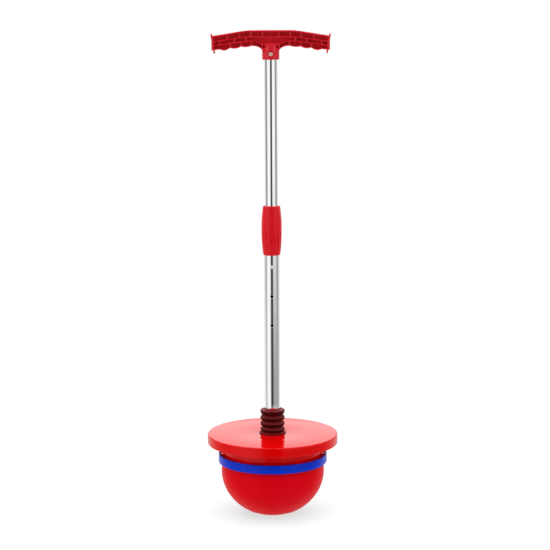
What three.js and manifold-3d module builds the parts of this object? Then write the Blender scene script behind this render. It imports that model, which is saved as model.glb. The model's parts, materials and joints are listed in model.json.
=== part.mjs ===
// A child's pogo jumper: a T-handle on a telescoping pole, sprung on a round standing deck that sits
// on an inflated ball. Millimetres, +Z up, the front faces -Y, the handle lies along X, ground at Z = 0.
import * as THREE from "three";
import { mergeVertices } from "three/addons/utils/BufferGeometryUtils.js";
import Module from "manifold-3d";

const wasm = await Module();
wasm.setup();

// ---------------------------------------------------------------- driving dimensions

const GAP = 0.3; // left between pieces that touch
const WIDE_SIDES = 40; // facets round the ball, deck and hoop
const POLE_SIDES = 24; // facets round the pole and what is on it
const SMALL_SIDES = 10; // facets round a screw

const BALL_RADIUS = 100.2;
const BALL_HALF_HEIGHT = 89.6;
const BALL_EQUATOR = 84;
const BALL_WALL = 5;
const BALL_BASE_HEIGHT = 6; // where the dome takes over from the rolled edge of the foot
const FOOT_RADIUS = 30; // the flat that the ball stands on
const FOOT_EDGE = [[37, 0.7], [42.5, 2.5]]; // radius and height where the flat rolls into the dome
const BEAD_RADIUS = 98; // the ball's bead, held between the skirt and the hoop
const NECK_RADIUS = 94.2; // the ball inside the skirt
const NECK_TOP = 126;
const CROWN_RADIUS = 76;
const VALVE_HEIGHT = 78;
const VALVE_HOLE_RADIUS = 3.5;

const HOOP_BOTTOM = 101.4;
const HOOP_HEIGHT = 17;
const HOOP_RADIUS = 105.6;
const HOOP_WALL = 2.5;
const HOOP_FLANGE = 2.6; // thickness of its inward flange
const HOOP_FLANGE_RADIUS = 96.3; // how far in the flange reaches
const HOOP_SCREWS = 6;
const HOOP_SCREW_CIRCLE = 100.5;

const SKIRT_BOTTOM = 108.6;
const SKIRT_RADIUS = 97.5;
const SKIRT_WALL = 3;
const LUG_HEIGHT = 7.4; // lugs outside the skirt take the hoop's screws
const LUG_WIDTH = 10;

const DECK_RADIUS = 126.4;
const DECK_TOP = 157.6;
const DECK_BOTTOM = 139;
const DECK_WALL = 3.1;
const DECK_EDGE = 2; // rounding of the top edge
const UNDERPLATE_BOTTOM = 142;
const UNDERPLATE_TOP = 145;
const DECK_RIBS = 8;
const DECK_RIB_WIDTH = 2.4;
const DECK_SCREWS = 6;
const DECK_SCREW_CIRCLE = 110;
const HUB_RADIUS = 34;
const HUB_BOTTOM = 151.8;
const FOOT_SEAT_RADIUS = 26.5; // shallow seat in the deck's top for the bellows and the spring
const FOOT_SEAT = 157;

const POST_RADIUS = 10; // the guide post that the pole slides on
const POST_BORE = 5.3;
const POST_TOP = 248;
const POST_FLANGE_RADIUS = 32;
const POST_FLANGE = 3.6;
const POST_SCREWS = 4;
const POST_SCREW_CIRCLE = 22;

const SPRING_SEAT = 1.4; // thickness of the washer under the spring
const SPRING_WIRE = 3;
const SPRING_RADIUS = 12.4; // to the middle of the wire
const SPRING_ACTIVE_TURNS = 3.5;
const SPRING_CLOSED_TURNS = 0.75; // at each end

const BELLOWS_TOP = 204.3;
const BELLOWS_RADIUS = 23.8;
const BELLOWS_GROOVE_RADIUS = 20.4;
const BELLOWS_BORE = 18.4;
const BELLOWS_BASE_RADIUS = 25.6;
const BELLOWS_BASE_HEIGHT = 4;
const BELLOWS_RIDGES = 4;
const BELLOWS_PITCH = 11.6;
const BELLOWS_RIDGE_HEIGHT = 7;
const BELLOWS_COLLAR = 6; // height of the collar that grips the pole

const LOWER_TUBE_RADIUS = 15;
const LOWER_TUBE_BORE = 13.5;
const LOWER_TUBE_BOTTOM = 196;
const LOWER_TUBE_TOP = 585;
const UPPER_TUBE_RADIUS = 12.5;
const UPPER_TUBE_BORE = 11.2;
const UPPER_TUBE_BOTTOM = 440;
const UPPER_TUBE_TOP = 908;
const BUTTON_HEIGHT = 486.4; // the snap button, in the highest of the three holes
const HOLE_SPACING = 57.2;
const HOLES = 3;
const BUTTON_RADIUS = 2.9;
const BUTTON_REACH = 17.2; // from the pole's axis to the tip of the button

const SLEEVE_BOTTOM = 508.4;
const SLEEVE_TOP = 603.3;
const SLEEVE_OUTLINE = [ // share of the height, radius
  [0, 15.9], [0.02, 16.6], [0.1, 17.6], [0.24, 18.6], [0.42, 19.4],
  [0.68, 19.4], [0.82, 18.4], [0.95, 17], [0.985, 16.6], [1, 15.8],
];
const SLEEVE_SCREW_HEIGHT = 540;

const HANDLE_TOP = 936.5;
const HANDLE_DEPTH = 26;
const HANDLE_WEB = 3;
const HANDLE_HALF = 109; // half the bar's length, to its end plates
const HANDLE_FLAT = 37; // half the length of the level middle of the bar
const HANDLE_DROOP = 0.17; // slope of the bar's ends
const HANDLE_BEND = 12; // softness of the bend into the slope
const BAR_HEIGHT_MIDDLE = 30.2;
const BAR_HEIGHT_END = 27.2;
const ROW_LINES = [0.412, 0.688]; // the ribs between the three rows of pockets, as shares of the height
const TOP_WALL = 3;
const RIB = 1.8;
const UPPER_ROW = [15.3, 37.2, 58, 81.8]; // places of the upright ribs, on both sides of the middle
const MIDDLE_ROW = [46.8, 68, 96.2];
const LOWER_ROW = [35.5, 56, 76.2, 96.2];
const FINGER_LOBES = [1.9, 2.4, 3.2]; // drop of the bar's underside between the lower ribs
const BOSS_RADIUS = 16.4;
const BOSS_BOTTOM = 881.4;
const BOSS_TOP = 911;
const BOSS_FILLET_TOP = 34; // distance from the axis where the bar starts to turn into the boss
const BOSS_FILLET_DROP = 13.5;
const END_PLATE = { thickness: 2.4, depth: 29, height: 37.5, out: 109.4, heightAt: 911.8, lean: 9.4 };
const HANDLE_BOLT_HEIGHT = 891.9;

// ---------------------------------------------------------------- materials

function finish(color, roughness, metalness = 0) {
  return new THREE.MeshStandardMaterial({ color, roughness, metalness });
}

const GLOSS_RED = finish(0xd8121c, 0.12);
const BALL_RED = finish(0xcf0a20, 0.35);
const GRIP_RED = finish(0xb41f31, 0.45);
const SLEEVE_RED = finish(0xcf1426, 0.4);
const BLUE = finish(0x1636c4, 0.3);
const MAROON_RUBBER = finish(0x5a1216, 0.7);
const CHROME = finish(0xdfe0e2, 0.12, 1);
const ZINC = finish(0xb9bcc0, 0.35, 1);
const NYLON = finish(0xe8e6de, 0.5);

// ---------------------------------------------------------------- solids from three.js geometry

// One closed body with shared vertices, no flat triangles, and its faces pointing out.
function solid(geometry) {
  const bare = geometry.clone();
  bare.deleteAttribute("normal");
  bare.deleteAttribute("uv");
  const merged = mergeVertices(bare, 1e-4);
  const place = merged.getAttribute("position");
  const index = merged.getIndex().array;
  const corners = [];
  let volume = 0;
  const a = new THREE.Vector3();
  const b = new THREE.Vector3();
  const c = new THREE.Vector3();
  for (let i = 0; i < index.length; i += 3) {
    const [p, q, r] = [index[i], index[i + 1], index[i + 2]];
    if (p === q || q === r || r === p) continue;
    corners.push(p, q, r);
    a.fromBufferAttribute(place, p);
    b.fromBufferAttribute(place, q);
    c.fromBufferAttribute(place, r);
    volume += a.dot(b.cross(c));
  }
  if (volume < 0) corners.reverse();
  const vertProperties = new Float32Array(place.array);
  const triVerts = new Uint32Array(corners);
  return new wasm.Manifold(new wasm.Mesh({ numProp: 3, vertProperties, triVerts }));
}

function geometryOf(body) {
  const mesh = body.getMesh();
  const geometry = new THREE.BufferGeometry();
  geometry.setAttribute("position", new THREE.BufferAttribute(new Float32Array(mesh.vertProperties), 3));
  geometry.setIndex(new THREE.BufferAttribute(new Uint32Array(mesh.triVerts), 1));
  geometry.computeVertexNormals();
  return geometry;
}

// A solid turned about Z from [radius, height] points. The profile starts and ends on the axis, or closes.
function turned(profile, sides) {
  const points = profile.map(([radius, height]) => new THREE.Vector2(radius, height));
  return solid(new THREE.LatheGeometry(points, sides).rotateX(Math.PI / 2));
}

function ring(outer, inner, bottom, top, sides) {
  return turned([[inner, bottom], [outer, bottom], [outer, top], [inner, top], [inner, bottom]], sides);
}

function disc(radius, bottom, top, sides) {
  return turned([[0, bottom], [radius, bottom], [radius, top], [0, top]], sides);
}

function block(x, y, z, sizeX, sizeY, sizeZ) {
  return solid(new THREE.BoxGeometry(sizeX, sizeY, sizeZ).translate(x, y, z));
}

// A flat outline in X and Z, given depth along Y and centred on Y = 0.
function slab(outline, holes, depth) {
  const points = outline.map(([x, z]) => new THREE.Vector2(x, z));
  if (THREE.ShapeUtils.isClockWise(points)) points.reverse(); // so that the holes' walls face the right way
  const shape = new THREE.Shape(points);
  shape.holes = holes.map((hole) => new THREE.Path(hole.map(([x, z]) => new THREE.Vector2(x, z))));
  const geometry = new THREE.ExtrudeGeometry(shape, { depth, bevelEnabled: false, curveSegments: 1 });
  return solid(geometry.rotateX(Math.PI / 2).translate(0, depth / 2, 0));
}

// A peg along Y from one place to another, for drilling the pole, or the copies of a screw.
function crossPeg(radius, from, to, height, sides = SMALL_SIDES) {
  return disc(radius, 0, to - from, sides).rotate([-90, 0, 0]).translate([0, from, height]);
}

function onCircle(count, radius, offset, make) {
  return Array.from({ length: count }, (_, i) => {
    const angle = ((i + offset) / count) * 2 * Math.PI;
    return make(radius * Math.cos(angle), radius * Math.sin(angle), angle, i + 1);
  });
}

function drill(body, holes) {
  return holes.reduce((rest, hole) => rest.subtract(hole), body);
}

function join(body, others) {
  return others.reduce((all, other) => all.add(other), body);
}

const model = new THREE.Group();

// Adds a named mesh to the model. place is an optional [x, y, z].
function piece(name, body, material, place = [0, 0, 0]) {
  const mesh = new THREE.Mesh(geometryOf(body), material);
  mesh.name = name;
  mesh.position.set(...place);
  model.add(mesh);
}

// ---------------------------------------------------------------- ball, valve and hoop

function ellipsePoints(radius, halfHeight, fromHeight, toHeight, steps) {
  const start = Math.asin((fromHeight - BALL_EQUATOR) / halfHeight);
  const end = Math.asin((toHeight - BALL_EQUATOR) / halfHeight);
  return Array.from({ length: steps + 1 }, (_, i) => {
    const angle = start + ((end - start) * i) / steps;
    return [radius * Math.cos(angle), BALL_EQUATOR + halfHeight * Math.sin(angle)];
  });
}

function makeBall() {
  const grooveBottom = HOOP_BOTTOM - GAP;
  const grooveTop = HOOP_BOTTOM + HOOP_FLANGE + GAP;
  const grooveRadius = HOOP_FLANGE_RADIUS - 0.4;
  const crown = UNDERPLATE_BOTTOM - 0.5;
  const outer = [
    [0, 0], [FOOT_RADIUS, 0], ...FOOT_EDGE,
    ...ellipsePoints(BALL_RADIUS, BALL_HALF_HEIGHT, BALL_BASE_HEIGHT, grooveBottom, 8),
    [grooveRadius, grooveBottom], [grooveRadius, grooveTop], [BEAD_RADIUS, grooveTop],
    [BEAD_RADIUS, SKIRT_BOTTOM - GAP], [NECK_RADIUS, SKIRT_BOTTOM - GAP], [NECK_RADIUS, NECK_TOP],
    [(NECK_RADIUS + CROWN_RADIUS) / 2 + 4, NECK_TOP + 11], [CROWN_RADIUS, crown], [0, crown],
  ];
  const innerHalfHeight = BALL_HALF_HEIGHT - BALL_WALL - 2;
  const neckBore = NECK_RADIUS - BALL_WALL;
  const inner = [
    [0, BALL_WALL], [FOOT_RADIUS, BALL_WALL],
    ...ellipsePoints(BALL_RADIUS - BALL_WALL, innerHalfHeight, BALL_WALL + 4, 90, 5),
    [neckBore, 101], [neckBore, NECK_TOP], [CROWN_RADIUS - 2, crown - BALL_WALL], [0, crown - BALL_WALL],
  ];
  const valveHole = crossPeg(VALVE_HOLE_RADIUS, BALL_RADIUS - 15, BALL_RADIUS + 5, VALVE_HEIGHT);
  piece("ball", turned(outer, WIDE_SIDES).subtract(turned(inner, WIDE_SIDES)).subtract(valveHole), BALL_RED);

  const stemRadius = VALVE_HOLE_RADIUS - GAP;
  const plugHead = 5.5;
  const plug = turned(
    [[0, 0], [stemRadius, 0], [stemRadius, 6], [plugHead, 6.2], [plugHead, 7], [0, 7.6]],
    16,
  );
  piece("valve_plug", plug.rotate([-90, 0, 0]), BALL_RED, [0, BALL_RADIUS - 5.6, VALVE_HEIGHT]);
}

// A screw with its head down: the head's underside is at height 0 and the shank stands up from it.
function screw(headRadius, headHeight, shankRadius, length) {
  return turned(
    [[0, -headHeight], [headRadius * 0.85, -headHeight], [headRadius, 0], [shankRadius, 0],
      [shankRadius, length], [0, length]],
    SMALL_SIDES,
  );
}

function makeHoop() {
  const top = HOOP_BOTTOM + HOOP_HEIGHT;
  const flangeTop = HOOP_BOTTOM + HOOP_FLANGE;
  const bore = HOOP_RADIUS - HOOP_WALL;
  const hoop = turned(
    [[HOOP_FLANGE_RADIUS, HOOP_BOTTOM], [HOOP_RADIUS - 0.6, HOOP_BOTTOM], [HOOP_RADIUS, HOOP_BOTTOM + 0.6],
      [HOOP_RADIUS, top - 0.6], [HOOP_RADIUS - 0.6, top], [bore, top], [bore, flangeTop],
      [HOOP_FLANGE_RADIUS, flangeTop], [HOOP_FLANGE_RADIUS, HOOP_BOTTOM]],
    WIDE_SIDES,
  );
  const headRadius = 2.6;
  const headDepth = 1.5;
  const shankRadius = 1.5;
  const countersink = turned(
    [[0, -1], [headRadius + GAP, -1], [headRadius + GAP, GAP], [shankRadius + GAP, headDepth + GAP],
      [shankRadius + GAP, 5], [0, 5]],
    SMALL_SIDES,
  );
  const seats = onCircle(HOOP_SCREWS, HOOP_SCREW_CIRCLE, 0, (x, y) =>
    countersink.translate([x, y, HOOP_BOTTOM]));
  piece("clamp_hoop", drill(hoop, seats), BLUE);

  const flatScrew = turned(
    [[0, 0], [headRadius, 0], [shankRadius, headDepth], [shankRadius, 12], [0, 12]],
    SMALL_SIDES,
  );
  onCircle(HOOP_SCREWS, HOOP_SCREW_CIRCLE, 0, (x, y, angle, number) =>
    piece(`hoop_screw_${number}`, flatScrew, ZINC, [x, y, HOOP_BOTTOM + GAP]));
}

// ---------------------------------------------------------------- deck

function makeSkirtPlate() {
  const skirtBore = SKIRT_RADIUS - SKIRT_WALL;
  const plateRadius = DECK_RADIUS - DECK_WALL - 0.4;
  const plate = turned(
    [[0, UNDERPLATE_BOTTOM], [skirtBore, UNDERPLATE_BOTTOM], [skirtBore, SKIRT_BOTTOM],
      [SKIRT_RADIUS, SKIRT_BOTTOM], [SKIRT_RADIUS, UNDERPLATE_BOTTOM], [plateRadius, UNDERPLATE_BOTTOM],
      [plateRadius, UNDERPLATE_TOP], [0, UNDERPLATE_TOP]],
    WIDE_SIDES,
  );
  const lugOut = HOOP_RADIUS - HOOP_WALL - 0.5;
  const lugIn = SKIRT_RADIUS - SKIRT_WALL / 2;
  const lugs = onCircle(HOOP_SCREWS, (lugIn + lugOut) / 2, 0, (x, y, angle) =>
    block(0, 0, 0, lugOut - lugIn, LUG_WIDTH, LUG_HEIGHT)
      .rotate([0, 0, THREE.MathUtils.radToDeg(angle)])
      .translate([x, y, SKIRT_BOTTOM + LUG_HEIGHT / 2]));
  const lugHoles = onCircle(HOOP_SCREWS, HOOP_SCREW_CIRCLE, 0, (x, y) =>
    disc(1.5 + GAP, SKIRT_BOTTOM - 1, SKIRT_BOTTOM + 6.2, SMALL_SIDES).translate([x, y, 0]));
  const plateHoles = onCircle(DECK_SCREWS, DECK_SCREW_CIRCLE, 0.5, (x, y) =>
    disc(2.2, UNDERPLATE_BOTTOM - 1, UNDERPLATE_TOP + 1, SMALL_SIDES).translate([x, y, 0]));
  piece("skirt_plate", drill(join(plate, lugs), [...lugHoles, ...plateHoles]), GLOSS_RED);
}

function makeDeckTop() {
  const plateBottom = DECK_TOP - DECK_WALL;
  const ribBottom = UNDERPLATE_TOP + GAP;
  const bore = DECK_RADIUS - DECK_WALL;
  const skirtRib = SKIRT_RADIUS - 2.5;
  const postHole = POST_RADIUS + 0.6;
  const shell = turned(
    [[postHole, HUB_BOTTOM], [HUB_RADIUS, HUB_BOTTOM], [HUB_RADIUS, plateBottom], [skirtRib, plateBottom],
      [skirtRib, ribBottom], [SKIRT_RADIUS, ribBottom], [SKIRT_RADIUS, plateBottom], [bore, plateBottom],
      [bore, DECK_BOTTOM], [DECK_RADIUS, DECK_BOTTOM], [DECK_RADIUS, DECK_TOP - DECK_EDGE],
      [DECK_RADIUS - DECK_EDGE * 0.3, DECK_TOP - DECK_EDGE * 0.3], [DECK_RADIUS - DECK_EDGE, DECK_TOP],
      [FOOT_SEAT_RADIUS, DECK_TOP], [FOOT_SEAT_RADIUS, FOOT_SEAT], [postHole, FOOT_SEAT],
      [postHole, HUB_BOTTOM]],
    WIDE_SIDES,
  );
  const ribIn = POST_FLANGE_RADIUS + 4;
  const ribOut = bore + 0.5;
  const ribHeight = plateBottom - ribBottom + 0.5;
  const ribs = onCircle(DECK_RIBS, (ribIn + ribOut) / 2, 0.5, (x, y, angle) =>
    block(0, 0, 0, ribOut - ribIn, DECK_RIB_WIDTH, ribHeight)
      .rotate([0, 0, THREE.MathUtils.radToDeg(angle)])
      .translate([x, y, ribBottom + ribHeight / 2]));
  const bosses = onCircle(DECK_SCREWS, DECK_SCREW_CIRCLE, 0.5, (x, y) =>
    disc(5, ribBottom, plateBottom + 0.5, SMALL_SIDES).translate([x, y, 0]));
  const bossHoles = onCircle(DECK_SCREWS, DECK_SCREW_CIRCLE, 0.5, (x, y) =>
    disc(2.1, ribBottom - 1, ribBottom + 8.6, SMALL_SIDES).translate([x, y, 0]));
  const hubHoles = onCircle(POST_SCREWS, POST_SCREW_CIRCLE, 0.5, (x, y) =>
    disc(2.5 + GAP, HUB_BOTTOM - 1, FOOT_SEAT - 1.4, SMALL_SIDES).translate([x, y, 0]));
  piece("deck_top", drill(join(shell, [...ribs, ...bosses]), [...bossHoles, ...hubHoles]), GLOSS_RED);

  const deckScrew = screw(3.6, 2.3, 1.8, 10.6);
  onCircle(DECK_SCREWS, DECK_SCREW_CIRCLE, 0.5, (x, y, angle, number) =>
    piece(`deck_screw_${number}`, deckScrew, ZINC, [x, y, UNDERPLATE_BOTTOM - GAP]));
}

// ---------------------------------------------------------------- sprung foot of the pole

function makeGuidePost() {
  const flangeTop = HUB_BOTTOM - GAP;
  const flangeBottom = flangeTop - POST_FLANGE;
  const post = turned(
    [[POST_BORE, flangeBottom], [POST_FLANGE_RADIUS, flangeBottom], [POST_FLANGE_RADIUS, flangeTop],
      [POST_RADIUS, flangeTop], [POST_RADIUS, POST_TOP], [POST_BORE, POST_TOP], [POST_BORE, flangeBottom]],
    POLE_SIDES,
  );
  const holes = onCircle(POST_SCREWS, POST_SCREW_CIRCLE, 0.5, (x, y) =>
    disc(2.5 + GAP, flangeBottom - 1, flangeTop + 1, SMALL_SIDES).translate([x, y, 0]));
  piece("guide_post", drill(post, holes), ZINC);

  const postScrew = screw(4.2, 2.2, 2.5, 8);
  onCircle(POST_SCREWS, POST_SCREW_CIRCLE, 0.5, (x, y, angle, number) =>
    piece(`post_screw_${number}`, postScrew, ZINC, [x, y, flangeBottom - GAP]));

  const washerBottom = POST_TOP + GAP;
  const washerTop = washerBottom + 2.5;
  piece("stop_washer", ring(12.6, POST_BORE, washerBottom, washerTop, POLE_SIDES), ZINC);
  const headBottom = washerTop + GAP;
  const shank = disc(POST_BORE - GAP, POST_TOP - 24, headBottom + 1, 16);
  const head = disc(9, headBottom, headBottom + 6.2, 6);
  piece("stop_bolt", shank.add(head), ZINC);
  const seatBottom = FOOT_SEAT + GAP;
  const seat = ring(15.2, POST_RADIUS + 0.4, seatBottom, seatBottom + SPRING_SEAT, POLE_SIDES);
  piece("spring_seat", seat, ZINC);
}

// The middle line of a compression spring with closed ends.
class SpringLine extends THREE.Curve {
  constructor(bottom, top) {
    super();
    this.turns = SPRING_ACTIVE_TURNS + 2 * SPRING_CLOSED_TURNS;
    this.closedRise = SPRING_CLOSED_TURNS * (SPRING_WIRE + 0.2);
    this.bottom = bottom;
    this.activeRise = top - bottom - 2 * this.closedRise;
  }

  getPoint(t, target = new THREE.Vector3()) {
    const turn = t * this.turns;
    const closedAtTop = Math.max(0, turn - this.turns + SPRING_CLOSED_TURNS);
    const closed = Math.min(turn, SPRING_CLOSED_TURNS) + closedAtTop;
    const active = turn - closed;
    const closedHeight = (closed / SPRING_CLOSED_TURNS) * this.closedRise;
    const activeHeight = (active / SPRING_ACTIVE_TURNS) * this.activeRise;
    const angle = turn * 2 * Math.PI;
    const x = SPRING_RADIUS * Math.cos(angle);
    const y = SPRING_RADIUS * Math.sin(angle);
    return target.set(x, y, this.bottom + closedHeight + activeHeight);
  }
}

function makeBounceSpring(bottom, top) {
  const line = new SpringLine(bottom + SPRING_WIRE / 2, top - SPRING_WIRE / 2);
  const section = new THREE.Shape();
  section.absarc(0, 0, SPRING_WIRE / 2, 0, 2 * Math.PI);
  const wire = new THREE.ExtrudeGeometry(section, { extrudePath: line, steps: 60, curveSegments: 3 });
  piece("bounce_spring", solid(wire), ZINC);
}

function makeBellows() {
  const bottom = FOOT_SEAT + GAP;
  const bore = LOWER_TUBE_RADIUS + GAP;
  const collarBottom = BELLOWS_TOP - BELLOWS_COLLAR;
  const profile = [
    [BELLOWS_BORE, bottom], [BELLOWS_BASE_RADIUS, bottom], [BELLOWS_BASE_RADIUS, bottom + 2.4],
  ];
  for (let ridge = BELLOWS_RIDGES - 1; ridge >= 0; ridge -= 1) {
    const top = BELLOWS_TOP - ridge * BELLOWS_PITCH;
    const under = top - BELLOWS_RIDGE_HEIGHT;
    if (ridge < BELLOWS_RIDGES - 1) profile.push([BELLOWS_GROOVE_RADIUS, under - 1.5]);
    else profile.push([BELLOWS_GROOVE_RADIUS + 1, bottom + BELLOWS_BASE_HEIGHT]);
    profile.push([BELLOWS_RADIUS - 0.6, under], [BELLOWS_RADIUS, under + 1], [BELLOWS_RADIUS, top - 1]);
    profile.push([BELLOWS_RADIUS - 1, top]);
    if (ridge > 0) profile.push([BELLOWS_GROOVE_RADIUS, top + 0.8]);
  }
  profile.push([bore, BELLOWS_TOP], [bore, collarBottom]);
  profile.push([BELLOWS_BORE, collarBottom], [BELLOWS_BORE, bottom]);
  piece("bellows", turned(profile, POLE_SIDES), MAROON_RUBBER);
}

// ---------------------------------------------------------------- pole

// A drill for the snap button, through the front wall of a tube.
function frontDrill(radius, bore, height) {
  return crossPeg(BUTTON_RADIUS + GAP, -radius - 2, -bore + 3, height, 16);
}

function makeLowerPole() {
  const tube = ring(LOWER_TUBE_RADIUS, LOWER_TUBE_BORE, LOWER_TUBE_BOTTOM, LOWER_TUBE_TOP, POLE_SIDES);
  const holes = Array.from({ length: HOLES }, (_, i) =>
    frontDrill(LOWER_TUBE_RADIUS, LOWER_TUBE_BORE, BUTTON_HEIGHT - i * HOLE_SPACING));
  const screwHole = crossPeg(1.5 + GAP, LOWER_TUBE_BORE - 2, LOWER_TUBE_RADIUS + 2, SLEEVE_SCREW_HEIGHT);
  piece("lower_tube", drill(tube, [...holes, screwHole]), CHROME);

  const bushBottom = LOWER_TUBE_BOTTOM - 3;
  const insertRadius = LOWER_TUBE_BORE - GAP;
  const bushBore = POST_RADIUS + GAP;
  const bush = turned(
    [[bushBore, bushBottom], [LOWER_TUBE_RADIUS, bushBottom], [LOWER_TUBE_RADIUS, LOWER_TUBE_BOTTOM - GAP],
      [insertRadius, LOWER_TUBE_BOTTOM - GAP], [insertRadius, POST_TOP - GAP], [bushBore, POST_TOP - GAP],
      [bushBore, bushBottom]],
    POLE_SIDES,
  );
  piece("pole_bush", bush, NYLON);
  makeBounceSpring(FOOT_SEAT + GAP + SPRING_SEAT + GAP, bushBottom - GAP);

  const mouthBushTop = LOWER_TUBE_TOP + 10;
  const mouthBush = ring(14.9, UPPER_TUBE_RADIUS + GAP, LOWER_TUBE_TOP + GAP, mouthBushTop, POLE_SIDES);
  piece("mouth_bush", mouthBush, NYLON);

  const height = SLEEVE_TOP - SLEEVE_BOTTOM;
  const sleeveBore = LOWER_TUBE_RADIUS + GAP;
  const lipBore = UPPER_TUBE_RADIUS + GAP + 0.1;
  const outside = SLEEVE_OUTLINE.map(([share, radius]) => [radius, SLEEVE_BOTTOM + share * height]);
  const sleeve = turned(
    [[sleeveBore, SLEEVE_BOTTOM], ...outside, [lipBore, SLEEVE_TOP], [lipBore, mouthBushTop + GAP],
      [sleeveBore, mouthBushTop + GAP], [sleeveBore, SLEEVE_BOTTOM]],
    POLE_SIDES,
  );
  const sleeveHole = crossPeg(1.5 + GAP, 14, 22, SLEEVE_SCREW_HEIGHT);
  const screwSeat = crossPeg(3.6, 17.4, 22, SLEEVE_SCREW_HEIGHT);
  piece("coupling_sleeve", drill(sleeve, [sleeveHole, screwSeat]), SLEEVE_RED);
  const sleeveScrew = screw(3, 1.6, 1.5, 3.9).rotate([90, 0, 0]);
  piece("sleeve_screw", sleeveScrew, ZINC, [0, 17.7, SLEEVE_SCREW_HEIGHT]);
}

function makeUpperPole() {
  const tube = ring(UPPER_TUBE_RADIUS, UPPER_TUBE_BORE, UPPER_TUBE_BOTTOM, UPPER_TUBE_TOP, POLE_SIDES);
  const buttonHole = frontDrill(UPPER_TUBE_RADIUS, UPPER_TUBE_BORE, BUTTON_HEIGHT);
  const boltHole = crossPeg(2 + GAP, -UPPER_TUBE_RADIUS - 2, UPPER_TUBE_RADIUS + 2, HANDLE_BOLT_HEIGHT);
  piece("upper_tube", drill(tube, [buttonHole, boltHole]), CHROME);

  const collarBottom = UPPER_TUBE_BOTTOM - 6;
  const glidePlug = turned(
    [[0, collarBottom], [12.6, collarBottom], [LOWER_TUBE_BORE - GAP, collarBottom + 0.8],
      [LOWER_TUBE_BORE - GAP, UPPER_TUBE_BOTTOM - GAP], [UPPER_TUBE_BORE - GAP, UPPER_TUBE_BOTTOM - GAP],
      [UPPER_TUBE_BORE - GAP, UPPER_TUBE_BOTTOM + 7], [0, UPPER_TUBE_BOTTOM + 7]],
    POLE_SIDES,
  );
  piece("glide_plug", glidePlug, NYLON);
}

function makeSnapButton() {
  const flangeReach = 10;
  const flange = 1.2;
  const pin = BUTTON_REACH - flangeReach;
  const button = turned(
    [[0, -flange], [4.2, -flange], [4.2, 0], [BUTTON_RADIUS, 0], [BUTTON_RADIUS, pin - 1.3],
      [BUTTON_RADIUS * 0.75, pin - 0.4], [0, pin]],
    16,
  );
  piece("snap_button", button.rotate([90, 0, 0]), CHROME, [0, -flangeReach, BUTTON_HEIGHT]);

  // The leaf spring behind the button is a V that opens upwards, 0.7 thick.
  const front = -(flangeReach - flange - GAP);
  const back = 9.6;
  const leaf = 0.7;
  const bend = BUTTON_HEIGHT - 35;
  const legTop = BUTTON_HEIGHT + 9;
  const knee = BUTTON_HEIGHT - 8; // below it the legs run in to the bend
  const outline = [
    [front, legTop], [front, knee], [-1.4, bend + 1], [0, bend], [1.4, bend + 1], [back, knee],
    [back, legTop], [back - leaf, legTop], [back - leaf, knee + 0.2], [0.8, bend + 1.6], [0, bend + 1],
    [-0.8, bend + 1.6], [front + leaf, knee + 0.2], [front + leaf, legTop],
  ];
  piece("button_spring", slab(outline, [], 6.4).rotate([0, 0, 90]), ZINC);
}

// ---------------------------------------------------------------- handle

function barTop(x) {
  const past = Math.max(0, Math.abs(x) - HANDLE_FLAT);
  return HANDLE_TOP - HANDLE_DROOP * (Math.hypot(past, HANDLE_BEND) - HANDLE_BEND);
}

// Height of the line that lies this share of the way down the bar, leaving the finger lobes out.
function barLine(x, share) {
  const height = BAR_HEIGHT_MIDDLE + ((BAR_HEIGHT_END - BAR_HEIGHT_MIDDLE) * Math.abs(x)) / LOWER_ROW.at(-1);
  return barTop(x) - share * height;
}

function barUnderside(x) {
  const out = Math.abs(x);
  const lobe = FINGER_LOBES.findIndex((drop, i) => out > LOWER_ROW[i] && out < LOWER_ROW[i + 1]);
  if (lobe < 0) return barLine(x, 1);
  const along = (out - LOWER_ROW[lobe]) / (LOWER_ROW[lobe + 1] - LOWER_ROW[lobe]);
  return barLine(x, 1) - FINGER_LOBES[lobe] * Math.sin(Math.PI * along);
}

function between(from, to, steps) {
  return Array.from({ length: steps + 1 }, (_, i) => from + ((to - from) * i) / steps);
}

// One half of the underside, from the end plate in to the boss, as [x, z] points for x > 0.
function halfUnderside() {
  const lobes = LOWER_ROW.slice(1).flatMap((outer, i) => between(LOWER_ROW[i], outer, 4).slice(1));
  const points = [HANDLE_HALF, ...lobes.reverse(), LOWER_ROW[0]].map((x) => [x, barUnderside(x)]);
  const filletTop = barLine(BOSS_FILLET_TOP, 1);
  const reach = BOSS_FILLET_TOP - (BOSS_RADIUS - 2);
  for (const angle of between(0, 90, 4)) {
    const turn = THREE.MathUtils.degToRad(angle);
    const x = BOSS_FILLET_TOP - reach * Math.sin(turn);
    points.push([x, filletTop - BOSS_FILLET_DROP * (1 - Math.cos(turn))]);
  }
  return points;
}

function barOutline() {
  const slope = between(HANDLE_FLAT, HANDLE_HALF, 6);
  const top = [...[...slope].reverse().map((x) => -x), ...slope].map((x) => [x, barTop(x)]);
  const right = halfUnderside();
  const left = right.map(([x, z]) => [-x, z]).reverse();
  return [...top, ...right, ...left];
}

// A pocket between two upright ribs and two lines of the bar, less the ribs' own thickness.
function pocket(from, to, upper, lower) {
  const xs = between(from + RIB / 2, to - RIB / 2, to - from > 40 ? 4 : 1);
  return [...xs.map((x) => [x, upper(x)]), ...[...xs].reverse().map((x) => [x, lower(x)])];
}

function pocketRow(ribs, upper, lower) {
  return ribs.slice(1).map((to, i) => pocket(ribs[i], to, upper, lower));
}

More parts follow.
